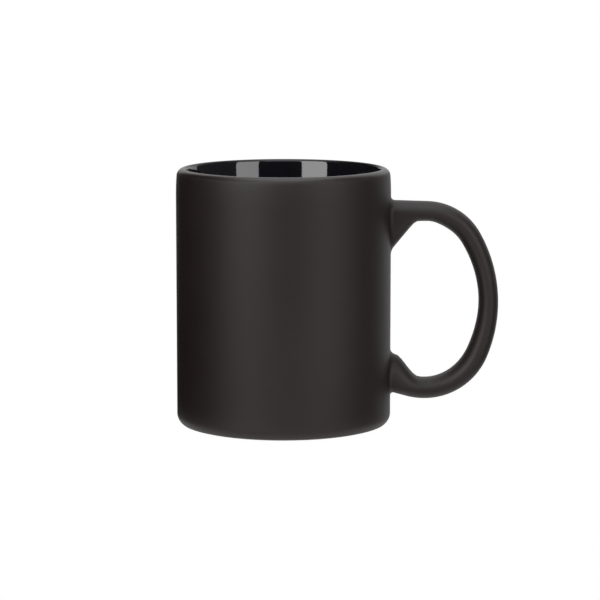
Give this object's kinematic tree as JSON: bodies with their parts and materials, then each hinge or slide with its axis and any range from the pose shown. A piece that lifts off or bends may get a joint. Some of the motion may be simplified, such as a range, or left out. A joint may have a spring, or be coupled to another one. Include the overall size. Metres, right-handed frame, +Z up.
{
  "type": "ceramic mug",
  "caption": "Straight-sided ceramic mug with a C-shaped side handle, matt outside and gloss inside, standing on a bare foot ring, for hot drinks.",
  "frame": {"origin": "on the cup's axis, in the plane that the foot ring stands on", "axes": "+Z up along the cup's axis to the mouth, +X from the axis through the middle of the handle, +Y across the handle"},
  "size_m": [0.1202, 0.08, 0.096],
  "materials": {
    "fired_clay": "bare fired white stoneware, fine grained",
    "joining_slip": "fired slip of the same clay",
    "matt_black_glaze": "matt black glaze, soft satin sheen at grazing angles",
    "gloss_black_glaze": "gloss black glaze"
  },
  "bodies": {
    "root": {"cup_body": "fired_clay", "handle": "fired_clay", "upper_slip_joint": "joining_slip", "lower_slip_joint": "joining_slip", "matt_outer_glaze": "matt_black_glaze", "gloss_liner_glaze": "gloss_black_glaze", "foot_recess_glaze": "gloss_black_glaze"}
  },
  "joints": []
}
